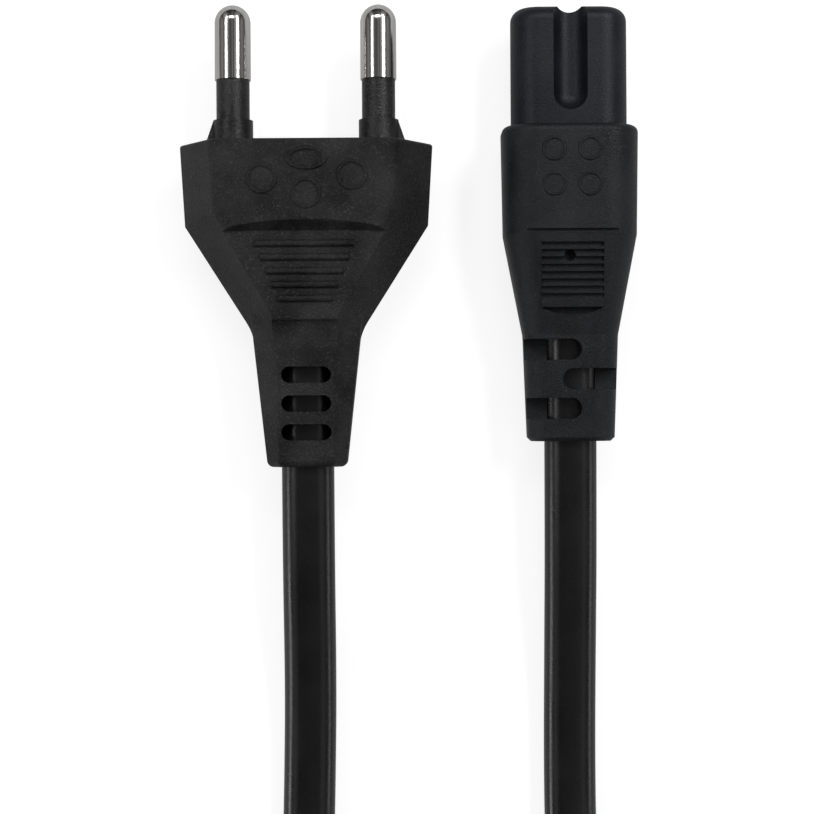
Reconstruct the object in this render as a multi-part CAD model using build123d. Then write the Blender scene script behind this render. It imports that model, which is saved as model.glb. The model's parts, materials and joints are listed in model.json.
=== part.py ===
from build123d import *
from math import radians, sqrt, tan
import os

# A mains cord: a flat two-core cable with a two-pin plug on one end and a
# two-hole appliance connector on the other. Millimetres, +Z up. Plug and
# connector lie flat on z = 0 beside each other and point along +Y. The origin
# is below the middle of the box round both.

# The two ends and their spacing
cable_spacing = 35.1

# Flat cable with two cores, which spread out from the sheath's end to the crimps.
# The turns are shares of that run.
cable_width = 7.0
cable_thickness = 4.4
core_spacing = 3.2
core_radius = 1.2
strand_radius = 0.55
core_turn_in = 0.24
core_turn_out = 0.665
core_turn_radius = 2.4

# Plug block, measured from its front face. Its outline is drawn past both ends by
# the margin and then cut to length.
plug_length = 61.5
plug_thickness = 13.7
pin_reach = 18.6
block_width_front = 33.7
block_width_rear = 32.4
block_straight = 10.9
block_taper = 14.2
block_shoulder = 24.0
block_tail = 2.4
outline_margin = 8.0
neck_width = 14.4
neck_curve = 7.0
shoulder_round = 2.0
front_round = 0.4

# Finger grip on the plug: a lowered panel that slopes down towards the cable
grip_step_depth = 1.1
grip_drop = 0.8
grip_start = 10.6
grip_arch = 1.4
grip_side_margin = 0.4
grip_first_rib = 13.6
grip_rib_pitch = 1.79
grip_rib_count = 5
grip_rib_width = 0.95
grip_rib_height = 0.45
grip_rib_root = 0.3
grip_rib_longest = 13.0
grip_rib_step = 1.5

# Cove under the grip panel's lower lip, which runs down to the strain relief
cove_start = 23.5
cove_lip = 0.35
cove_fall = 1.0
cove_length = 4.0
cove_width = 8.8

# Plug strain relief
relief_overlap = 5.0
relief_narrowing = 0.218
relief_start_thickness = 9.2
relief_end_thickness = 7.4
relief_flat = 7.2
relief_side = 3.4
relief_edge_round = 0.7
relief_end_round = 0.9
relief_slot_length = 6.6
relief_slot_width = 2.15
relief_slot_pitch = 3.79
relief_slot_count = 3
relief_slot_from_end = 4.6

# Round pins with insulating sleeves
pin_spacing = 19.4
pin_radius = 2.4
pin_bare = 10.0
pin_neck_radius = 1.85
sleeve_radius = 2.22
pin_ring_radius = 2.7
pin_ring_length = 1.4
pin_tail_radius = 1.5
pin_tail_end = 10.4
crimp_depth = 3.4

# Pin carrier, a hard insert whose front shows in the block's face
carrier_width = 27.0
carrier_height = 8.2
carrier_depth = 6.5
carrier_edge = 1.2
collar_radius = 2.66
collar_length = 3.2
gusset_thickness = 1.5
gusset_reach = 1.0
gusset_top_inset = 0.1

# Connector body, measured from its shoulder
shoulder_ahead = 2.1
nose_reach = 15.9
connector_body_width = 18.15
connector_rear_width = 17.7
connector_thickness = 11.7
connector_corner = 4.4
connector_end_corner = 2.9
connector_straight = 14.4
connector_taper = 13.3
connector_neck_width = 12.6
connector_relief = 14.1
connector_relief_end_width = 11.6
connector_relief_thickness = 8.2
connector_end_thickness = 7.4
connector_edge_round = 0.9
connector_end_chamfer = 0.5
slit_above_corner = 0.3
slit_length = 12.0
slit_width = 0.45
slit_depth = 0.5

# Thumb pad on the connector
pad_width = 8.2
pad_length = 9.8
pad_fall = 0.85
pad_band = 1.3
pad_rib_count = 7
pad_rib_pitch = 0.96
pad_groove = 0.65
pad_groove_depth = 0.6
pocket_length = 1.1
pocket_depth = 1.4
pad_hole_radius = 0.75
pad_hole_depth = 2.0
pad_hole_place = 3.05
pad_hole_across = -0.35

# Open notches in the connector's strain relief
notch_width = 2.8
notch_pitch = 3.9
notch_first = 15.25
notch_past_centre = 1.25

# Nose with two contact holes
nose_width = 15.5
nose_thickness = 7.4
nose_side_flat = 0.1
nose_end_round = 1.8
nose_groove_radius = 2.25
nose_groove_end = 2.0
nose_dip = 0.7
nose_root_width = 12.4
nose_root_height = 5.4
nose_root_depth = 9.0
nose_root_corner = 1.5
hole_spacing = 8.6
hole_radius = 1.5
hole_entry = 3.0
contact_radius = 1.9
contact_bore = 1.25
contact_length = 10.0
contact_back_wall = 1.0
contact_tail_radius = 1.3
contact_tail = 5.0

# Where the cable's sheath ends inside each moulding, from its rear end
plug_sheath_inside = 17.75
connector_sheath_inside = 18.5

# Tied hank of the spare length: turns of cable standing on edge
hank_columns = 3
hank_layers = 2
hank_inner_radius = 18.8
hank_run = 52.0
hank_edge_round = 1.5
hank_top = -138.0
hank_joint = 20.0
tie_thickness = 0.8
tie_width = 12.0

# How far a cut runs past a face, how far joined shapes run into each other, and
# the size of the boxes that trim a shape
cut_past = 1.0
joint_overlap = 0.05
large = 300.0

# Places worked out from the sizes
axis_shift = (block_width_front - connector_body_width) / 4
plug_x = axis_shift - cable_spacing / 2
connector_x = axis_shift + cable_spacing / 2
plug_z = plug_thickness / 2
connector_z = connector_thickness / 2
pin_tip = plug_length / 2
block_face = pin_tip - pin_reach
plug_rear = -plug_length / 2
block_corner = block_face - block_straight
block_end = block_corner - block_taper
shoulder = block_face + shoulder_ahead
nose_tip = shoulder + nose_reach
body_corner = shoulder - connector_straight
body_end = body_corner - connector_taper
slit_y = body_corner + slit_above_corner
connector_rear = body_end - connector_relief
hank_width = hank_columns * cable_thickness
hank_outer_radius = hank_inner_radius + hank_width
hank_height = hank_layers * cable_width
hank_reach = hank_outer_radius - cable_thickness / 2
hank_x = (plug_x + connector_x) / 2
lower_layer = tie_thickness + cable_width / 2
upper_layer = lower_layer + cable_width

# The cable's route from each moulding to the hank, chosen by hand
plug_sheath_end = plug_rear + plug_sheath_inside
connector_sheath_end = connector_rear + connector_sheath_inside
plug_route = [
    (plug_x, plug_sheath_end, plug_z),
    (plug_x, -41.5, plug_z),
    (plug_x, -60.0, 2.8),
    (plug_x - 0.2, -77.0, 2.2),
    (plug_x - 3.9, -91.0, 2.5),
    (plug_x - 8.6, -101.0, 3.4),
    (plug_x - 12.0, -114.0, 4.2),
    (hank_x - hank_reach, hank_top, lower_layer),
]
connector_route = [
    (connector_x, connector_sheath_end, connector_z),
    (connector_x, -38.5, connector_z),
    (connector_x, -58.0, 2.7),
    (connector_x + 0.2, -76.0, 2.2),
    (connector_x + 4.0, -91.0, 4.5),
    (connector_x + 8.5, -100.5, 7.1),
    (connector_x + 12.0, -114.0, 10.8),
    (hank_x + hank_reach, hank_top, upper_layer),
]


def mirrored_up(upper, middle):
    """A moulding whose two halves are alike, from its upper half."""
    lower = mirror(upper, about=Plane.XY.offset(middle))
    return upper + lower


def along_y(x, z, radius, y_low, y_high):
    """A round bar parallel to Y."""
    place = Plane(origin=(x, y_low, z), x_dir=(1, 0, 0), z_dir=(0, 1, 0))
    return extrude(place * Circle(radius), y_high - y_low)


def cable_section(point, heading):
    """The flat cable's section at a point, lying on its wide side."""
    place = Plane(origin=point, x_dir=(1, 0, 0), z_dir=heading)
    return place * SlotOverall(cable_width, cable_thickness)


def rounded_path(points, name):
    """Straight runs joined by tangent arcs as large as the runs allow."""
    spots = [Vector(*p) for p in points]
    radii = []
    for before, here, after in zip(spots, spots[1:], spots[2:]):
        run_in, run_out = here - before, after - here
        shorter = min(run_in.length, run_out.length)
        half_turn = radians(run_in.get_angle(run_out)) / 2
        radii.append(0.45 * shorter / tan(half_turn))
    print(name, "bend radii", [round(r, 1) for r in radii])
    return FilletPolyline(*points, radius=radii)


def cable_tube(points, name):
    """The flat cable swept along a route."""
    path = rounded_path(points, name)
    section = cable_section(points[0], (0, -1, 0))
    tube = sweep(section, path=path)
    print(name, "volume over section times length", round(tube.volume / (section.area * path.length), 4))
    return tube


def core_route(side, x, middle, start, crimp, end, spacing):
    """The line of one core from the sheath's end to its crimp, or on to the copper's end."""
    near, far = x + side * core_spacing / 2, x + side * spacing / 2
    turn_in = start + core_turn_in * (crimp - start)
    turn_out = start + core_turn_out * (crimp - start)
    points = [(near, start, middle), (near, turn_in, middle), (far, turn_out, middle), (far, end, middle)]
    return FilletPolyline(*points, radius=core_turn_radius)


def round_sweep(path, start, radius):
    """A round wire along a core's line."""
    place = Plane(origin=start, x_dir=(1, 0, 0), z_dir=(0, 1, 0))
    return sweep(place * Circle(radius), path=path)


def core_and_strands(side, x, middle, start, crimp, spacing):
    """One insulated core and the copper strands that run on into the crimp."""
    near = (x + side * core_spacing / 2, start, middle)
    copper = core_route(side, x, middle, start, crimp, crimp + crimp_depth, spacing)
    strands = round_sweep(copper, near, strand_radius)
    core = round_sweep(core_route(side, x, middle, start, crimp, crimp, spacing), near, core_radius)
    return core - strands, strands


# Plug


def block_outline():
    """The block's plan: widest in front, tapering and curving into the neck."""
    lean = (block_width_front - block_width_rear) / 2 / block_straight
    half = [
        (block_width_front / 2 + lean * outline_margin, block_face + outline_margin),
        (block_width_rear / 2, block_corner),
        (neck_width / 2, block_end),
        (neck_width / 2 - relief_narrowing / 2 * outline_margin, block_end - outline_margin),
    ]
    corners = half + [(-x, y) for x, y in reversed(half)]
    plan = make_face(Polyline(*corners, close=True))
    necks = plan.vertices().filter_by(lambda v: abs(v.Y - block_end) < 0.01)
    return fillet(necks, neck_curve)


def plug_block_half():
    """Upper half of the block: sides that slope in to a flat plateau."""
    inset = (block_width_front - block_shoulder) / 2
    base = block_outline()
    plateau = offset(base, -inset, kind=Kind.INTERSECTION)
    sides = loft([Pos(0, 0, plug_z) * base, Pos(0, 0, plug_thickness) * plateau], ruled=True)
    rim = sides.faces().sort_by(Axis.Z)[-1].edges()
    sides = fillet(rim.filter_by(lambda e: abs(e.tangent_at(0.5).Y) > 0.5), shoulder_round)
    block_length = block_face - block_end + block_tail
    sides &= Pos(0, block_face - block_length / 2, 0) * Box(large, block_length, large)
    front = sides.faces().sort_by(Axis.Y)[-1].edges()
    return fillet(front.filter_by(lambda e: e.center().Z > plug_z + joint_overlap), front_round)


def grip_cut():
    """What is cut away over the grip: a crescent step, then a sloping panel."""
    top = plug_thickness + cut_past
    near_y = block_face - grip_start - grip_arch
    far_y = block_end - 2 * block_tail
    near_z, far_z = grip_height(near_y), grip_height(far_y)
    side = Polyline((near_y, top), (near_y, near_z), (far_y, far_z), (far_y, top), close=True)
    wedge = extrude(Plane.YZ * make_face(side), block_width_front, both=True)
    reach = block_shoulder / 2 + grip_side_margin
    rise = (top - near_z) / grip_step_depth
    foot = near_y - joint_overlap

    def crescent(bow):
        arch = ThreePointArc((-reach, foot), (0, near_y + bow), (reach, foot))
        return make_face([arch.edge(), Line((reach, foot), (-reach, foot)).edge()])

    low = Pos(0, 0, near_z) * crescent(joint_overlap)
    high = Pos(0, 0, top) * crescent(grip_arch * rise)
    return wedge + loft([low, high], ruled=True)


def cove_cut():
    """What is cut away under the panel's lip: a cove that flattens towards the relief."""
    start = block_face - cove_start
    end = start - cove_length
    top = grip_height(start)
    under_lip, last = (start, top - cove_lip), (end, top - cove_fall)
    middle = (start - cove_length / 3, top - (cove_lip + 3 * cove_fall) / 4)
    rest = Polyline(last, (end, top + cut_past), (start, top + cut_past), under_lip)
    side = make_face([ThreePointArc(under_lip, middle, last).edge(), *rest.edges()])
    return extrude(Plane.YZ * side, cove_width / 2, both=True)


def grip_height(y):
    """Height of the grip panel's surface at a place along the plug."""
    near_y = block_face - grip_start - grip_arch
    slope = grip_drop / (near_y - block_end)
    return plug_thickness - grip_step_depth - slope * (near_y - y)


def grip_rib(place, length):
    """One rounded rib across the grip panel."""
    y = block_face - place
    z = grip_height(y)
    half = grip_rib_width / 2
    root = z - grip_rib_root
    crest = ThreePointArc((y - half, z), (y, z + grip_rib_height), (y + half, z))
    foot = Polyline((y + half, z), (y + half, root), (y - half, root), (y - half, z))
    profile = make_face([crest.edge(), *foot.edges()])
    return extrude(Plane.YZ * profile, length / 2, both=True)


def plug_relief():
    """Tapering eight-sided strain relief with rounded edges."""
    start = block_end + relief_overlap
    start_width = neck_width + relief_narrowing * relief_overlap
    end_width = neck_width - relief_narrowing * (block_end - plug_rear)

    def section(y, width, thickness):
        half_w, half_t, flat, side = width / 2, thickness / 2, relief_flat / 2, relief_side / 2
        corners = [(flat, half_t), (half_w, side), (half_w, -side), (flat, -half_t)]
        corners += [(-a, b) for a, b in reversed(corners)]
        place = Plane(origin=(0, y, plug_z), x_dir=(1, 0, 0), z_dir=(0, -1, 0))
        return place * make_face(Polyline(*corners, close=True))

    body = loft(
        [
            section(start, start_width, relief_start_thickness),
            section(plug_rear, end_width, relief_end_thickness),
        ],
        ruled=True,
    )
    long_edges = body.edges().filter_by(lambda e: abs(e.tangent_at(0.5).Y) > 0.9)
    body = fillet(long_edges, relief_edge_round)
    return fillet(body.faces().sort_by(Axis.Y)[0].edges(), relief_end_round)


def relief_slots():
    """Stadium slots through the relief, down to the cable from above."""
    slot = extrude(SlotOverall(relief_slot_length, relief_slot_width), plug_thickness)
    slots = Part()
    for n in range(relief_slot_count):
        y = plug_rear + relief_slot_from_end + n * relief_slot_pitch
        slots += Pos(0, y, plug_z) * slot
    return slots


def plug_outside():
    """The soft moulding of the plug as one closed shape."""
    upper = plug_block_half() - grip_cut()
    upper += plug_relief() & Pos(0, 0, plug_z + large / 2) * Box(large, large, large)
    upper -= cove_cut()
    for n in range(grip_rib_count):
        upper += grip_rib(grip_first_rib + n * grip_rib_pitch, grip_rib_longest - n * grip_rib_step)
    upper -= relief_slots()
    return Pos(plug_x, 0, 0) * mirrored_up(upper, plug_z)


def pin(side):
    """One turned pin: domed tip, thin neck, retaining ring and crimp tail."""
    tail_y = block_face - pin_tail_end
    ring_y = block_face - carrier_depth
    bare_y = pin_tip - pin_bare
    profile = make_face(
        [
            *Polyline(
                (0, pin_tip),
                (0, tail_y + crimp_depth),
                (strand_radius, tail_y + crimp_depth),
                (strand_radius, tail_y),
                (pin_tail_radius, tail_y),
                (pin_tail_radius, ring_y),
                (pin_ring_radius, ring_y),
                (pin_ring_radius, ring_y + pin_ring_length),
                (pin_neck_radius, ring_y + pin_ring_length),
                (pin_neck_radius, bare_y),
                (pin_radius, bare_y),
                (pin_radius, pin_tip - pin_radius),
            ).edges(),
            ThreePointArc(
                (pin_radius, pin_tip - pin_radius),
                (pin_radius / sqrt(2), pin_tip - pin_radius * (1 - 1 / sqrt(2))),
                (0, pin_tip),
            ).edge(),
        ]
    )
    return Pos(plug_x + side * pin_spacing / 2, 0, plug_z) * revolve(profile, Axis.Y)


def pin_sleeve(side):
    """The plastic sleeve on a pin, from the bare part into the carrier."""
    x = plug_x + side * pin_spacing / 2
    low = block_face - carrier_depth + pin_ring_length
    high = pin_tip - pin_bare
    return along_y(x, plug_z, sleeve_radius, low, high) - along_y(x, plug_z, pin_neck_radius, low, high)


def pin_carrier():
    """The hard insert that holds both pins, with a collar and gusset at each."""
    middle = Pos(plug_x, block_face - carrier_depth / 2, plug_z)
    plate = middle * Box(carrier_width, carrier_depth, carrier_height)
    plate = fillet(plate.edges().filter_by(Axis.Y), carrier_edge)
    for side in (-1, 1):
        x = plug_x + side * pin_spacing / 2
        plate += along_y(x, plug_z, collar_radius, block_face, block_face + collar_length)
        reach = side * (collar_radius + gusset_reach)
        rib = Polyline(
            (x, block_face),
            (x + reach, block_face),
            (x + side * (collar_radius - gusset_top_inset), block_face + collar_length),
            (x, block_face + collar_length),
            close=True,
        )
        plate += Pos(0, 0, plug_z) * extrude(make_face(rib), gusset_thickness / 2, both=True)
    return plate


# Connector


def body_section(y, width, thickness, corner):
    """A rounded-rectangle section of the connector's body."""
    place = Plane(origin=(0, y, connector_z), x_dir=(1, 0, 0), z_dir=(0, -1, 0))
    return place * RectangleRounded(width, thickness, corner)


def thumb_pad():
    """The raised pad, and what is cut from it: fine grooves, a hole and a pocket at its end."""
    start = slit_y - slit_width / 2
    end = start - pad_length
    top = connector_z + connector_thickness / 2
    root = connector_z + cable_thickness / 2
    side = Polyline((start, root), (start, top), (end, top - pad_fall), (end, root), close=True)
    pad = extrude(Plane.YZ * make_face(side), pad_width / 2, both=True)
    place = Pos(pad_hole_across, start - pad_hole_place, top - pad_hole_depth)
    cuts = place * extrude(Circle(pad_hole_radius), pad_hole_depth + cut_past)
    for n in range(pad_rib_count + 1):
        y = start - pad_band - pad_groove / 2 - n * pad_rib_pitch
        z = top - pad_fall * (start - y) / pad_length
        cuts += Pos(0, y, z) * Box(pad_width, pad_groove, 2 * pad_groove_depth)
    near, far = (-pad_width / 2, end), (pad_width / 2, end)
    bow = ThreePointArc(near, (0, end - pocket_length), far)
    pocket = extrude(make_face([bow.edge(), Line(far, near).edge()]), connector_thickness)
    return pad, cuts + Pos(0, 0, top - pad_fall - pocket_depth) * pocket


def connector_outside():
    """The soft moulding of the connector as one closed shape."""
    front = body_section(shoulder, connector_body_width, connector_thickness, connector_corner)
    corner = body_section(body_corner, connector_rear_width, connector_thickness, connector_corner)
    neck = body_section(body_end, connector_neck_width, connector_relief_thickness, connector_end_corner)
    end = body_section(
        connector_rear, connector_relief_end_width, connector_end_thickness, connector_end_corner
    )
    straight, taper, relief = loft([front, corner]), loft([corner, neck]), loft([neck, end])
    rim = straight.faces().sort_by(Axis.Y)[-1].edges()
    body = fillet(rim, connector_edge_round) + taper + relief
    rim = body.faces().sort_by(Axis.Y)[0].edges()
    body = chamfer(rim, connector_end_chamfer)
    for up in (-1, 1):
        edge = connector_z + up * connector_thickness / 2
        body -= Pos(0, slit_y, edge) * Box(slit_length, slit_width, 2 * slit_depth)
    pad, cuts = thumb_pad()
    body = body + pad - cuts
    for n, side in enumerate((-1, 1, -1)):
        y = body_corner - notch_first - n * notch_pitch
        inner = -side * notch_past_centre
        outer = side * connector_body_width
        middle = (inner + outer) / 2
        slot = SlotOverall(abs(outer - inner), notch_width)
        for up in (-1, 1):
            bottom = connector_z + up * cable_thickness / 4
            body -= Pos(middle, y, bottom) * extrude(slot, up * connector_thickness)
    return Pos(connector_x, 0, 0) * body


def connector_nose():
    """The hard figure-of-eight nose with its two contact holes."""
    place = Plane(origin=(connector_x, shoulder, connector_z), x_dir=(1, 0, 0), z_dir=(0, -1, 0))
    outline = RectangleRounded(nose_width, nose_thickness, (nose_thickness - nose_side_flat) / 2)
    nose = extrude(place * outline, -nose_reach)
    nose = fillet(nose.faces().sort_by(Axis.Y)[-1].edges(), nose_end_round)
    root = place * RectangleRounded(nose_root_width, nose_root_height, nose_root_corner)
    nose += extrude(root, nose_root_depth)
    groove_y = shoulder + nose_groove_end + nose_groove_radius
    for up in (-1, 1):
        z = connector_z + up * nose_thickness / 2
        nose -= along_y(connector_x, z, nose_groove_radius, groove_y, nose_tip + cut_past)
        nose -= Pos(connector_x, groove_y, z) * Sphere(nose_groove_radius)
    dip = Pos(connector_x, nose_tip + nose_groove_radius - nose_dip, connector_z)
    nose -= dip * Cylinder(nose_groove_radius, nose_thickness)
    for side in (-1, 1):
        x = connector_x + side * hole_spacing / 2
        contact_mouth = nose_tip - hole_entry
        nose -= along_y(x, connector_z, hole_radius, contact_mouth, nose_tip + cut_past)
        nose -= along_y(x, connector_z, contact_radius, contact_mouth - contact_length, contact_mouth)
        nose -= along_y(x, connector_z, contact_tail_radius, shoulder - 2 * nose_root_depth, contact_mouth)
    return nose


def contact(side):
    """One sprung tube contact with its crimp tail."""
    x = connector_x + side * hole_spacing / 2
    mouth = nose_tip - hole_entry
    back = mouth - contact_length
    tail = shoulder - nose_root_depth - contact_tail
    tube = along_y(x, connector_z, contact_radius, back, mouth)
    tube += along_y(x, connector_z, contact_tail_radius, tail, back)
    tube -= along_y(x, connector_z, contact_bore, back + contact_back_wall, mouth)
    return tube - along_y(x, connector_z, strand_radius, tail, tail + crimp_depth)


# Spare cable


def hank_and_leads():
    """The hank's outer shape, and the two stretches of cable that lead to it."""
    centre_low = hank_top - hank_run

    def racetrack(radius):
        middle = (hank_top + centre_low) / 2
        return Pos(hank_x, middle, 0) * SlotCenterToCenter(hank_run, 2 * radius, rotation=90)

    flat = racetrack(hank_outer_radius) - racetrack(hank_inner_radius)
    ring = Pos(0, 0, tie_thickness) * extrude(flat, hank_height)
    rims = ring.edges().filter_by(lambda e: abs(e.tangent_at(0.5).Z) < 0.1)
    ring = fillet(rims, hank_edge_round)
    joint = hank_top + hank_joint
    plug_side = cable_tube(plug_route, "plug lead")
    connector_side = cable_tube(connector_route, "connector lead")
    behind = Pos(hank_x, joint - large / 2, 0) * Box(large, large, large)
    hank = ring + (plug_side & behind) + (connector_side & behind)
    return hank, plug_side - behind, connector_side - behind


def hank_tie():
    """A strap round the whole hank at the middle of its runs."""
    y = hank_top - hank_run / 2
    place = Plane(origin=(hank_x, y, tie_thickness + hank_height / 2), x_dir=(1, 0, 0), z_dir=(0, 1, 0))
    inside = RectangleRounded(2 * hank_outer_radius, hank_height, hank_edge_round)
    outside = offset(inside, tie_thickness)
    return extrude(place * (outside - inside), tie_width / 2, both=True)


def build():
    parts = {}
    hank, plug_lead, connector_lead = hank_and_leads()
    parts["cable_hank"] = hank
    parts["hank_tie"] = hank_tie()
    parts["cable_plug_lead"] = plug_lead
    parts["cable_connector_lead"] = connector_lead

    carrier = pin_carrier()
    outside = plug_outside() - carrier - plug_lead
    tail_y = block_face - pin_tail_end
    for side, place, colour in ((-1, "left", "brown"), (1, "right", "blue")):
        metal, sleeve = pin(side), pin_sleeve(side)
        core, strands = core_and_strands(side, plug_x, plug_z, plug_sheath_end, tail_y, pin_spacing)
        carrier = carrier - metal - sleeve
        outside = outside - metal - core - strands
        parts[f"pin_{place}"] = metal
        parts[f"pin_sleeve_{place}"] = sleeve
        parts[f"plug_core_{colour}"] = core
        parts[f"plug_strands_{colour}"] = strands
    parts["pin_carrier"] = carrier
    parts["plug_body"] = outside

    nose = connector_nose()
    body = connector_outside() - nose - connector_lead
    tail_y = shoulder - nose_root_depth - contact_tail
    for side, place, colour in ((-1, "left", "brown"), (1, "right", "blue")):
        tube = contact(side)
        core, strands = core_and_strands(
            side, connector_x, connector_z, connector_sheath_end, tail_y, hole_spacing
        )
        nose = nose - tube
        body = body - tube - core - strands
        parts[f"contact_{place}"] = tube
        parts[f"connector_core_{colour}"] = core
        parts[f"connector_strands_{colour}"] = strands
    parts["connector_nose"] = nose
    parts["connector_body"] = body
    return parts


os.makedirs("parts", exist_ok=True)
for name, shape in build().items():
    export_step(shape, f"parts/{name}.step")
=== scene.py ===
import json
import math

import bmesh
import bpy
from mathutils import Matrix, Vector

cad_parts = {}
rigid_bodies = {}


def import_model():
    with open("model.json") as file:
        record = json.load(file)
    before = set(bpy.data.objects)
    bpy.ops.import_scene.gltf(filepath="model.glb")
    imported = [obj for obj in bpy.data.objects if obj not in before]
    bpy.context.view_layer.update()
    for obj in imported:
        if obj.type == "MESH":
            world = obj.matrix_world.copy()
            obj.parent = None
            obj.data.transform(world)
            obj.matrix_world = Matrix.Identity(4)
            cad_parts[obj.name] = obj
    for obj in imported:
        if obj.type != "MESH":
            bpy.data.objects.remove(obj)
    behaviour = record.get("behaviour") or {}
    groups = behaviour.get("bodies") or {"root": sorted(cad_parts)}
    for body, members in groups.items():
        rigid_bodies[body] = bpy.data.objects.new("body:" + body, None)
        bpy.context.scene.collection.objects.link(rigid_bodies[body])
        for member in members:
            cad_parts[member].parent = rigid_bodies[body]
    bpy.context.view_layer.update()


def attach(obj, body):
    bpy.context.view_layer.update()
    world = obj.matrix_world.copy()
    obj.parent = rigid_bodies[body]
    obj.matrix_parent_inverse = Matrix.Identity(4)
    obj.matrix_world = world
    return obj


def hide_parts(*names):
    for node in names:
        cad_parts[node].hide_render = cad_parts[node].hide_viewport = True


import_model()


# Camera: it hangs straight above the two ends and looks down on them, close enough for the
# raised pins to lean outwards a little. The two cords leave its picture at the bottom.
view_height = 0.250
view_width = 0.10853
view_x = -0.00042
view_y = -0.0229
view_turn = -0.35
plug_middle_height = 0.00685
bpy.ops.object.camera_add(location=(view_x, view_y, plug_middle_height + view_height))
camera = bpy.context.object
camera.rotation_euler = (0, 0, math.radians(view_turn))
camera.data.angle = 2 * math.atan(view_width / 2 / view_height)
camera.data.clip_start = 0.01
bpy.context.scene.camera = camera


# Cable: one flat two-core lead with a black PVC sheath, moulded into the plug at one end and into
# the connector at the other. Its spare length is folded to and fro in two layers, on its edge.
cable_width = 0.0070
cable_thickness = 0.0044
cable_plug_x = -0.0136625
cable_connector_x = 0.0214375
connector_middle_height = 0.00585
hank_x = 0.0038875
hank_top = -0.138
hank_bottom = -0.190
hank_middle = (hank_top + hank_bottom) / 2
lower_layer = 0.0043
upper_layer = 0.0113
column_radii = (0.0210, 0.0254, 0.0298)
plug_route = [
    (cable_plug_x, -0.013, plug_middle_height),
    (cable_plug_x, -0.0415, plug_middle_height),
    (cable_plug_x, -0.060, 0.0028),
    (cable_plug_x - 0.0002, -0.072, 0.0023),
    (cable_plug_x - 0.0005, -0.084, 0.0023),
    (cable_plug_x - 0.0044, -0.095, 0.0026),
    (cable_plug_x - 0.0088, -0.104, 0.0035),
    (cable_plug_x - 0.0120, -0.116, 0.0042),
    (hank_x - column_radii[2], hank_top, lower_layer),
]
connector_route = [
    (cable_connector_x, -0.00905, connector_middle_height),
    (cable_connector_x, -0.0385, connector_middle_height),
    (cable_connector_x, -0.058, 0.0027),
    (cable_connector_x - 0.0001, -0.071, 0.0023),
    (cable_connector_x, -0.0835, 0.0025),
    (cable_connector_x + 0.0045, -0.095, 0.0052),
    (cable_connector_x + 0.0090, -0.104, 0.0082),
    (cable_connector_x + 0.0120, -0.116, 0.0109),
    (hank_x + column_radii[2], hank_top, upper_layer),
]


def half_turn(left, right, middle_y, side, low, high):
    """Points of one end of the hank, from one column of the cable round to the other."""
    middle_x = hank_x + (right - left) / 2
    radius = (right + left) / 2
    going = 1 if side < 0 else -1
    points = []
    for step in range(7):
        angle = math.radians(15 + 25 * step)
        x = middle_x - going * radius * math.cos(angle)
        y = middle_y + side * radius * math.sin(angle)
        points.append((x, y, low + (high - low) * (step + 0.5) / 7))
    return points


turns = [
    (column_radii[2], lower_layer), (column_radii[1], lower_layer), (column_radii[0], lower_layer),
    (column_radii[1], upper_layer), (column_radii[2], upper_layer),
]
straight_start = 0.006
run_y = (hank_top - straight_start, hank_middle, hank_bottom + straight_start)
hank_points = []
for number, (radius, z) in enumerate(turns):
    left_run = [(hank_x - radius, y, z) for y in run_y]
    right_run = [(hank_x + radius, y, z) for y in run_y[::-1]]
    hank_points += left_run + half_turn(radius, radius, hank_bottom, -1, z, z) + right_run
    if number < len(turns) - 1:
        next_radius, next_z = turns[number + 1]
        hank_points += half_turn(next_radius, radius, hank_top, 1, z, next_z)
route = plug_route + hank_points + connector_route[::-1]

bpy.ops.object.select_all(action="DESELECT")
cable_curve = bpy.data.curves.new("cable", "CURVE")
cable_curve.dimensions = "3D"
cable_curve.twist_mode = "Z_UP"
cable_curve.resolution_u = 10
spline = cable_curve.splines.new("NURBS")
spline.points.add(len(route) - 1)
for point, place in zip(spline.points, route):
    on_edge = min(1, max(0, (-0.096 - place[1]) / 0.030))
    point.co = (*place, 1)
    point.tilt = math.radians(90) * on_edge
spline.order_u = 3
spline.use_endpoint_u = True
cable = bpy.data.objects.new("cable", cable_curve)
bpy.context.collection.objects.link(cable)
line_mesh = bpy.data.meshes.new_from_object(cable)
bpy.data.meshes.remove(line_mesh)

bpy.ops.curve.primitive_bezier_circle_add(radius=0.01)
section = bpy.context.object
section.name = "cable_section"
section.data.splines.clear()
outline = section.data.splines.new("POLY")
half_flat = (cable_width - cable_thickness) / 2
outline_points = []
for side in (1, -1):
    for step in range(9):
        angle = math.radians(-90 + 22.5 * step)
        x = side * (half_flat + cable_thickness / 2 * math.cos(angle))
        outline_points.append((x, side * cable_thickness / 2 * math.sin(angle)))
outline.points.add(len(outline_points) - 1)
for point, (x, y) in zip(outline.points, outline_points):
    point.co = (x, y, 0, 1)
outline.use_cyclic_u = True
cable_curve.bevel_mode = "OBJECT"
cable_curve.bevel_object = section
cable_curve.use_fill_caps = True
bpy.ops.object.select_all(action="DESELECT")
cable.select_set(True)
bpy.context.view_layer.objects.active = cable
bpy.ops.object.convert(target="MESH")
bpy.data.objects.remove(section)
bpy.ops.object.shade_smooth()

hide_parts("cable_plug_lead", "cable_connector_lead", "cable_hank")
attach(cable, "root")


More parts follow.
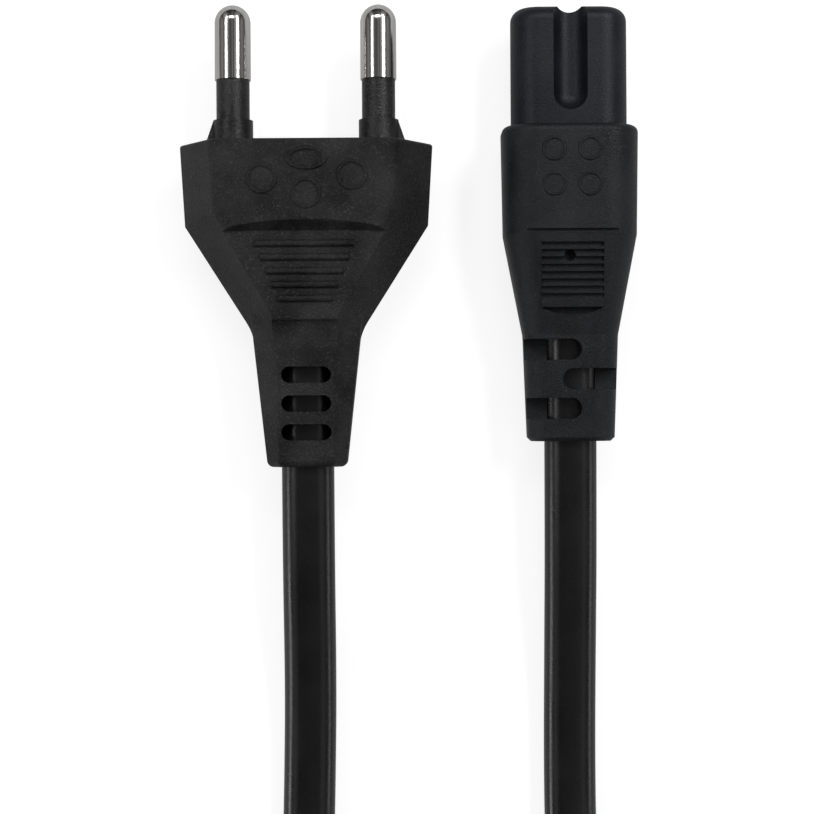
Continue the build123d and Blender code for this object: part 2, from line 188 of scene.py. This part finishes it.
# Sheath finish: black PVC drawn through a die, so it is smooth, with only a faint grain and a soft
# gloss that catches the light on the rounded edges. The moulded pieces have a coarser grain.
def grain_and_glint_group():
    """Fine spark-eroded grain of a mould, as a height, a roughness and a colour mask whose bright specks
    are painted glints.
    """
    group = bpy.data.node_groups.new("mould_grain", "ShaderNodeTree")
    for name, kind in (
        ("Grain Size", "NodeSocketFloat"), ("Roughness Low", "NodeSocketFloat"),
        ("Roughness High", "NodeSocketFloat"), ("Dark", "NodeSocketColor"), ("Light", "NodeSocketColor"),
    ):
        group.interface.new_socket(name, in_out="INPUT", socket_type=kind)
    for name, kind in (
        ("Colour", "NodeSocketColor"), ("Roughness", "NodeSocketFloat"), ("Height", "NodeSocketFloat"),
    ):
        group.interface.new_socket(name, in_out="OUTPUT", socket_type=kind)
    nodes, links = group.nodes, group.links
    given = nodes.new("NodeGroupInput")
    result = nodes.new("NodeGroupOutput")
    place = nodes.new("ShaderNodeTexCoord")
    per_metre = nodes.new("ShaderNodeMath")
    per_metre.operation = "DIVIDE"
    per_metre.inputs[0].default_value = 1
    links.new(given.outputs["Grain Size"], per_metre.inputs[1])
    fine = nodes.new("ShaderNodeTexNoise")
    fine.inputs["Detail"].default_value = 3
    fine.inputs["Roughness"].default_value = 0.65
    links.new(place.outputs["Object"], fine.inputs["Vector"])
    links.new(per_metre.outputs[0], fine.inputs["Scale"])
    broad = nodes.new("ShaderNodeTexNoise")
    broad.inputs["Scale"].default_value = 160
    broad.inputs["Detail"].default_value = 4
    links.new(place.outputs["Object"], broad.inputs["Vector"])
    # Bright specks in the colour: painted glints of the spark-eroded grain, not a colour the plastic
    # has.
    glint_specks = nodes.new("ShaderNodeMapRange")
    glint_specks.inputs["From Min"].default_value = 0.55
    glint_specks.inputs["From Max"].default_value = 0.74
    links.new(fine.outputs["Fac"], glint_specks.inputs["Value"])
    patches = nodes.new("ShaderNodeMapRange")
    patches.inputs["From Min"].default_value = 0.35
    patches.inputs["From Max"].default_value = 0.70
    links.new(broad.outputs["Fac"], patches.inputs["Value"])
    both = nodes.new("ShaderNodeMath")
    both.operation = "MULTIPLY_ADD"
    both.inputs[1].default_value = 0.45
    links.new(patches.outputs[0], both.inputs[0])
    links.new(glint_specks.outputs[0], both.inputs[2])
    colour = nodes.new("ShaderNodeMix")
    colour.data_type = "RGBA"
    links.new(both.outputs[0], colour.inputs["Factor"])
    links.new(given.outputs["Dark"], colour.inputs[6])
    links.new(given.outputs["Light"], colour.inputs[7])
    links.new(colour.outputs[2], result.inputs["Colour"])
    rough = nodes.new("ShaderNodeMapRange")
    links.new(broad.outputs["Fac"], rough.inputs["Value"])
    rough.inputs["From Min"].default_value = 0.3
    rough.inputs["From Max"].default_value = 0.7
    links.new(given.outputs["Roughness Low"], rough.inputs["To Min"])
    links.new(given.outputs["Roughness High"], rough.inputs["To Max"])
    links.new(rough.outputs[0], result.inputs["Roughness"])
    links.new(fine.outputs["Fac"], result.inputs["Height"])
    return group


mould_grain = grain_and_glint_group()


def moulded(name, dark, light, size, rough_low, rough_high, depth, shine):
    """A moulded plastic: colour with painted glints, gloss and grain from the group, all on one
    Principled shader.
    """
    material = bpy.data.materials.new(name)
    material.use_nodes = True
    nodes, links = material.node_tree.nodes, material.node_tree.links
    shader = nodes["Principled BSDF"]
    grain = nodes.new("ShaderNodeGroup")
    grain.node_tree = mould_grain
    grain.inputs["Grain Size"].default_value = size
    grain.inputs["Roughness Low"].default_value = rough_low
    grain.inputs["Roughness High"].default_value = rough_high
    grain.inputs["Dark"].default_value = (*dark, 1)
    grain.inputs["Light"].default_value = (*light, 1)
    links.new(grain.outputs["Colour"], shader.inputs["Base Color"])
    links.new(grain.outputs["Roughness"], shader.inputs["Roughness"])
    bump = nodes.new("ShaderNodeBump")
    bump.inputs["Distance"].default_value = depth
    links.new(grain.outputs["Height"], bump.inputs["Height"])
    links.new(bump.outputs["Normal"], shader.inputs["Normal"])
    shader.inputs["Specular IOR Level"].default_value = shine
    return material


def finish_node(node, material):
    """Give a CAD node its finish in every material slot."""
    piece = bpy.data.objects[node]
    for place in piece.material_slots:
        place.material = material


sheath = moulded(
    "black_sheath", (0.0040, 0.0040, 0.0043), (0.0085, 0.0085, 0.0089),
    size=0.0004, rough_low=0.24, rough_high=0.34, depth=0.000020, shine=0.50,
)
cable.data.materials.clear()
cable.data.materials.append(sheath)


# Plug moulding: soft black PVC shot round the pin carrier and the cable in one mould. The mould is
# spark eroded, so the face is dull and grained; the tiny bright grains in its colour are painted glints.
plug_black = moulded(
    "plug_black", (0.0012, 0.0012, 0.0013), (0.056, 0.056, 0.056),
    size=0.00026, rough_low=0.36, rough_high=0.50, depth=0.00018, shine=0.25,
)
finish_node("plug_body", plug_black)


# Plug marks: three round outlines and an oval one, raised a little from the plug's face. They are
# engraved in the mould, so they are one with the face and have its grain.
def one_piece(ring_name, name, material):
    """Join every ring of this name into one piece, with its place in its mesh."""
    bpy.ops.object.select_all(action="DESELECT")
    rings = [piece for piece in bpy.data.objects if piece.name.startswith(ring_name)]
    for ring in rings:
        ring.select_set(True)
    marks = rings[0]
    bpy.context.view_layer.objects.active = marks
    bpy.ops.object.join()
    bpy.ops.object.transform_apply(location=True, rotation=True, scale=True)
    bpy.ops.object.shade_smooth()
    marks.name = name
    marks.data.materials.append(material)
    return marks


plug_mark_line = 0.00026
plug_mark_height = 0.01364
for x, y, width, depth in (
    (-0.01916, 0.0069, 0.0041, 0.0041),
    (-0.01334, 0.0095, 0.0053, 0.0031),
    (-0.01340, 0.00495, 0.0041, 0.0041),
    (-0.00737, 0.0073, 0.0041, 0.0041),
):
    bpy.ops.object.select_all(action="DESELECT")
    bpy.ops.mesh.primitive_torus_add(
        major_radius=depth / 2 - plug_mark_line, minor_radius=plug_mark_line,
        major_segments=72, minor_segments=10, location=(x, y, plug_mark_height),
    )
    ring = bpy.context.object
    ring.scale.x = (width - 2 * plug_mark_line) / (depth - 2 * plug_mark_line)
    ring.name = "plug_mark_ring"
plug_marks = one_piece("plug_mark_ring", "plug_marks", plug_black)
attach(plug_marks, "root")


# Pin carrier and sleeves: hard black plastic, moulded by itself. The carrier holds the two pins
# apart inside the soft plug, and the sleeves cover the pins' inner halves. Their mould leaves them
# polished and a little mottled, and the bright specks in their colour are painted glints.
hard_black = moulded(
    "hard_black", (0.0026, 0.0026, 0.0027), (0.050, 0.050, 0.050),
    size=0.00030, rough_low=0.24, rough_high=0.40, depth=0.00008, shine=0.38,
)
for name in ("pin_carrier", "pin_sleeve_left", "pin_sleeve_right"):
    finish_node(name, hard_black)


# Pins: drawn brass rods with turned, domed ends and a bright nickel plate. Fine lines from the
# drawing run along them. They are pushed into the carrier before the plug is moulded.
nickel = bpy.data.materials.new("bright_nickel")
nickel.use_nodes = True
nodes, links = nickel.node_tree.nodes, nickel.node_tree.links
shader = nodes["Principled BSDF"]
shader.inputs["Metallic"].default_value = 1
place = nodes.new("ShaderNodeTexCoord")
stretch = nodes.new("ShaderNodeMapping")
stretch.inputs["Scale"].default_value = (1, 0.02, 1)
links.new(place.outputs["Object"], stretch.inputs["Vector"])
lines = nodes.new("ShaderNodeTexNoise")
lines.inputs["Scale"].default_value = 2600
lines.inputs["Detail"].default_value = 3
links.new(stretch.outputs["Vector"], lines.inputs["Vector"])
tone = nodes.new("ShaderNodeMix")
tone.data_type = "RGBA"
tone.inputs[6].default_value = (0.38, 0.37, 0.36, 1)
tone.inputs[7].default_value = (0.85, 0.84, 0.82, 1)
links.new(lines.outputs["Fac"], tone.inputs["Factor"])
links.new(tone.outputs[2], shader.inputs["Base Color"])
gloss = nodes.new("ShaderNodeMapRange")
gloss.inputs["To Min"].default_value = 0.06
gloss.inputs["To Max"].default_value = 0.20
links.new(lines.outputs["Fac"], gloss.inputs["Value"])
links.new(gloss.outputs[0], shader.inputs["Roughness"])
ripple = nodes.new("ShaderNodeTexNoise")
ripple.inputs["Scale"].default_value = 1100
links.new(place.outputs["Object"], ripple.inputs["Vector"])
waves = nodes.new("ShaderNodeBump")
waves.inputs["Distance"].default_value = 0.000010
links.new(ripple.outputs["Fac"], waves.inputs["Height"])
scratch = nodes.new("ShaderNodeBump")
scratch.inputs["Distance"].default_value = 0.000004
links.new(lines.outputs["Fac"], scratch.inputs["Height"])
links.new(waves.outputs["Normal"], scratch.inputs["Normal"])
links.new(scratch.outputs["Normal"], shader.inputs["Normal"])
for name in ("pin_left", "pin_right"):
    finish_node(name, nickel)


# Connector moulding: the same soft PVC in a finer, more even grain, and slightly cooler in tone.
# It is shot round the root of the nose and the end of the cable.
connector_black = moulded(
    "connector_black", (0.0030, 0.0035, 0.0048), (0.024, 0.0265, 0.032),
    size=0.00024, rough_low=0.38, rough_high=0.50, depth=0.00008, shine=0.28,
)
finish_node("connector_body", connector_black)


# Connector marks: four smaller rings on the connector's face, in two rows of two. They too come
# from the mould and have the face's grain.
connector_mark_width = 0.00328
connector_mark_line = 0.00022
connector_mark_height = 0.01163
for x in (0.01907, 0.02379):
    for y in (0.01083, 0.00622):
        bpy.ops.object.select_all(action="DESELECT")
        bpy.ops.mesh.primitive_torus_add(
            major_radius=connector_mark_width / 2 - connector_mark_line,
            minor_radius=connector_mark_line, major_segments=64, minor_segments=10,
            location=(x, y, connector_mark_height),
        )
        bpy.context.object.name = "connector_mark_ring"
connector_marks = one_piece("connector_mark_ring", "connector_marks", connector_black)
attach(connector_marks, "root")


# Nose: hard black plastic with a finely blasted face, a little lighter and bluer than the body. It
# holds the two contacts, and its root is moulded into the body.
nose_black = moulded(
    "nose_black", (0.0028, 0.0038, 0.0066), (0.015, 0.019, 0.028),
    size=0.00024, rough_low=0.38, rough_high=0.48, depth=0.00004, shine=0.30,
)
finish_node("connector_nose", nose_black)


# Contacts: sprung brass tubes that a round pin of the appliance slides into, rolled from strip and
# crimped to the strands of the cable.
def plain_metal(name, tone, rough):
    """A metal with a slightly cloudy surface."""
    lighter = tuple(1.15 * part for part in tone)
    material = moulded(
        name, tone, lighter,
        size=0.0006, rough_low=rough, rough_high=rough + 0.12, depth=0.000008, shine=0.5,
    )
    material.node_tree.nodes["Principled BSDF"].inputs["Metallic"].default_value = 1
    return material


contact_brass = plain_metal("contact_brass", (0.62, 0.46, 0.20), 0.22)
for name in ("contact_left", "contact_right"):
    finish_node(name, contact_brass)


# Cores: brown and blue insulated copper, spread from the sheath's end to the crimps. The
# insulation is plain glossy PVC, and the strands are bare soft copper.
brown = moulded(
    "brown_core", (0.060, 0.024, 0.010), (0.085, 0.036, 0.016),
    size=0.0006, rough_low=0.35, rough_high=0.45, depth=0.00001, shine=0.5,
)
blue = moulded(
    "blue_core", (0.010, 0.045, 0.20), (0.018, 0.065, 0.27),
    size=0.0006, rough_low=0.35, rough_high=0.45, depth=0.00001, shine=0.5,
)
copper = plain_metal("bare_copper", (0.80, 0.36, 0.20), 0.28)
for end in ("plug", "connector"):
    finish_node(f"{end}_core_brown", brown)
    finish_node(f"{end}_core_blue", blue)
    finish_node(f"{end}_strands_brown", copper)
    finish_node(f"{end}_strands_blue", copper)


# Hank strap: a black woven hook-and-loop strap pulled once round the folded cable. It sags a little
# over the open middle, where its free end laps over its start, and its selvedges are thicker.
strap_corner_x = 0.0302
strap_corner_radius = 0.0022
strap_low = 0.0026
strap_high = 0.0130
strap_start_x = -0.009
strap_end_x = 0.009
lap_rise = 0.00082
bundle_inner_x = 0.0188
sag_depth = 0.0016


def sag(x):
    """Height of the strap's middle over the hank, lowest halfway between the two bundles."""
    top = strap_high + strap_corner_radius
    if abs(x) > bundle_inner_x:
        return top
    return top - sag_depth * (0.5 + 0.5 * math.cos(math.pi * x / bundle_inner_x))


band_line = []
for step in range(28):
    x = strap_start_x + (strap_corner_x - strap_start_x) * step / 28
    band_line.append((x, sag(x)))
for centre_x, centre_z, first in (
    (strap_corner_x, strap_high, 90), (strap_corner_x, strap_low, 0),
    (-strap_corner_x, strap_low, -90), (-strap_corner_x, strap_high, -180),
):
    for step in range(7):
        angle = math.radians(first - 15 * step)
        x = centre_x + strap_corner_radius * math.cos(angle)
        band_line.append((x, centre_z + strap_corner_radius * math.sin(angle)))
for step in range(1, 31):
    x = (strap_corner_x + strap_end_x) * step / 30 - strap_corner_x
    lap = min(1, max(0, (x - strap_start_x + 0.0035) / 0.003))
    band_line.append((x, sag(x) + lap_rise * lap))
band_section = [
    (-0.0056, -0.00038), (0.0056, -0.00038), (0.0059, -0.00028), (0.0060, 0), (0.0059, 0.00028),
    (0.0056, 0.00038), (0.0052, 0.00038), (0.0050, 0.00028), (0.0, 0.00030), (-0.0050, 0.00028),
    (-0.0052, 0.00038), (-0.0056, 0.00038), (-0.0059, 0.00028), (-0.0060, 0), (-0.0059, -0.00028),
]
shape = bmesh.new()
rows = []
for number, (x, z) in enumerate(band_line):
    before = band_line[max(0, number - 1)]
    after = band_line[min(len(band_line) - 1, number + 1)]
    run = Vector((after[0] - before[0], 0, after[1] - before[1])).normalized()
    out = Vector((-run.z, 0, run.x))
    rows_left = len(band_line) - 1 - number
    narrowing = (0.62, 0.84, 0.96)[rows_left] if rows_left < 3 else 1
    rows.append([
        shape.verts.new(Vector((hank_x + x, hank_middle + across * narrowing, z)) + out * up)
        for across, up in band_section
    ])
for row, following in zip(rows, rows[1:]):
    for here in range(len(band_section)):
        beside = (here + 1) % len(band_section)
        shape.faces.new((row[here], row[beside], following[beside], following[here]))
shape.faces.new(rows[0])
shape.faces.new(rows[-1][::-1])
bmesh.ops.recalc_face_normals(shape, faces=shape.faces)
strap_mesh = bpy.data.meshes.new("hank_strap")
shape.to_mesh(strap_mesh)
shape.free()
strap = bpy.data.objects.new("hank_strap", strap_mesh)
bpy.context.collection.objects.link(strap)
bpy.ops.object.select_all(action="DESELECT")
strap.select_set(True)
bpy.context.view_layer.objects.active = strap
bpy.ops.object.shade_smooth_by_angle(angle=math.radians(40))
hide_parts("hank_tie")
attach(strap, "root")
strap_black = bpy.data.materials.new("strap_weave")
strap_black.use_nodes = True
nodes, links = strap_black.node_tree.nodes, strap_black.node_tree.links
shader = nodes["Principled BSDF"]
shader.inputs["Roughness"].default_value = 0.8
place = nodes.new("ShaderNodeTexCoord")
across = nodes.new("ShaderNodeTexWave")
across.wave_type = "BANDS"
across.bands_direction = "Y"
across.inputs["Scale"].default_value = 420
along = nodes.new("ShaderNodeTexWave")
along.bands_direction = "DIAGONAL"
along.inputs["Scale"].default_value = 260
links.new(place.outputs["Object"], across.inputs["Vector"])
links.new(place.outputs["Object"], along.inputs["Vector"])
weave = nodes.new("ShaderNodeMath")
weave.operation = "MULTIPLY"
links.new(across.outputs["Fac"], weave.inputs[0])
links.new(along.outputs["Fac"], weave.inputs[1])
thread = nodes.new("ShaderNodeMix")
thread.data_type = "RGBA"
thread.inputs[6].default_value = (0.006, 0.006, 0.007, 1)
thread.inputs[7].default_value = (0.035, 0.035, 0.038, 1)
links.new(weave.outputs[0], thread.inputs["Factor"])
links.new(thread.outputs[2], shader.inputs["Base Color"])
relief = nodes.new("ShaderNodeBump")
relief.inputs["Distance"].default_value = 0.00015
links.new(weave.outputs[0], relief.inputs["Height"])
links.new(relief.outputs["Normal"], shader.inputs["Normal"])
strap.data.materials.append(strap_black)


# Floor: a white table top under everything. It looks white to the camera and takes the shadow of
# the two ends, and it is dimmer in reflections, so that the black plastic stays dark.
floor_size = 1.8
bpy.ops.object.select_all(action="DESELECT")
bpy.ops.mesh.primitive_plane_add(size=floor_size, location=(0, -0.1, 0))
floor = bpy.context.object
floor.name = "floor"
white = bpy.data.materials.new("white_table")
white.use_nodes = True
nodes, links = white.node_tree.nodes, white.node_tree.links
shader = nodes["Principled BSDF"]
shader.inputs["Base Color"].default_value = (0.42, 0.42, 0.42, 1)
shader.inputs["Roughness"].default_value = 0.9
shader.inputs["Emission Color"].default_value = (1, 1, 1, 1)
rays = nodes.new("ShaderNodeLightPath")
reflected = nodes.new("ShaderNodeMath")
reflected.operation = "MAXIMUM"
links.new(rays.outputs["Is Glossy Ray"], reflected.inputs[0])
links.new(rays.outputs["Is Transmission Ray"], reflected.inputs[1])
paler = nodes.new("ShaderNodeMath")
paler.operation = "MULTIPLY"
paler.inputs[1].default_value = 0.2
links.new(reflected.outputs[0], paler.inputs[0])
seen = nodes.new("ShaderNodeMath")
seen.operation = "MULTIPLY_ADD"
seen.inputs[1].default_value = 0.78
links.new(rays.outputs["Is Camera Ray"], seen.inputs[0])
links.new(paler.outputs[0], seen.inputs[2])
links.new(seen.outputs[0], shader.inputs["Emission Strength"])
floor.data.materials.append(white)


# Light: two long soft boxes parallel to the pins, a smaller one ahead of them, and a low strip on
# each side that glints on the leads. They stand in a dim striped room, which the nickel shows as
# bright and dark streaks. The camera sees plain white where it looks past the floor.
for x, y, height, wide, deep, power in (
    (-0.44, 0.25, 0.56, 0.13, 0.64, 0.9),
    (0.40, 0.37, 0.56, 0.13, 0.50, 2.3),
    (-0.03, 0.36, 0.52, 0.34, 0.12, 0.75),
    (-0.55, -0.26, 0.13, 0.12, 0.40, 0.75),
    (0.55, -0.20, 0.13, 0.12, 0.36, 0.32),
):
    bpy.ops.object.light_add(type="AREA", location=(x, y, height))
    lamp = bpy.context.object
    lamp.data.shape = "RECTANGLE"
    lamp.data.size = wide
    lamp.data.size_y = deep
    lamp.data.energy = power
    if wide < deep:
        lamp.rotation_euler = (0, math.atan2(x, height), 0)
    else:
        lamp.rotation_euler = (math.atan2(-y, height), 0, 0)
world = bpy.data.worlds.new("dim_room")
bpy.context.scene.world = world
world.use_nodes = True
nodes, links = world.node_tree.nodes, world.node_tree.links
facing = nodes.new("ShaderNodeTexCoord")
parts = nodes.new("ShaderNodeSeparateXYZ")
links.new(facing.outputs["Generated"], parts.inputs[0])
from_left = nodes.new("ShaderNodeMapRange")
from_left.inputs["From Min"].default_value = -1
from_left.inputs["From Max"].default_value = 1
links.new(parts.outputs["X"], from_left.inputs["Value"])
walls = nodes.new("ShaderNodeValToRGB")
walls.color_ramp.interpolation = "EASE"
stops = walls.color_ramp.elements
stops[0].color = (0.30, 0.30, 0.30, 1)
stops[1].color = (0.30, 0.30, 0.30, 1)
for position, tone in (
    (0.05, 0.45), (0.10, 0.10), (0.16, 0.50), (0.24, 0.50), (0.30, 0.10), (0.46, 0.08),
    (0.52, 0.22), (0.58, 0.08), (0.70, 0.45), (0.80, 0.45), (0.87, 0.08), (0.95, 0.35),
):
    stop = stops.new(position)
    stop.color = (tone, tone, tone, 1)
links.new(from_left.outputs[0], walls.inputs["Fac"])
upward = nodes.new("ShaderNodeMapRange")
upward.inputs["From Min"].default_value = 0.1
upward.inputs["From Max"].default_value = 0.8
upward.inputs["To Min"].default_value = 0.3
upward.inputs["To Max"].default_value = 1.0
links.new(parts.outputs["Z"], upward.inputs["Value"])
room = nodes["Background"]
links.new(walls.outputs["Color"], room.inputs["Color"])
links.new(upward.outputs[0], room.inputs["Strength"])
backdrop = nodes.new("ShaderNodeBackground")
backdrop.inputs["Color"].default_value = (1, 1, 1, 1)
rays = nodes.new("ShaderNodeLightPath")
either = nodes.new("ShaderNodeMixShader")
links.new(rays.outputs["Is Camera Ray"], either.inputs["Fac"])
links.new(room.outputs["Background"], either.inputs[1])
links.new(backdrop.outputs["Background"], either.inputs[2])
links.new(either.outputs["Shader"], nodes["World Output"].inputs["Surface"])

bpy.context.scene.view_settings.view_transform = "Standard"
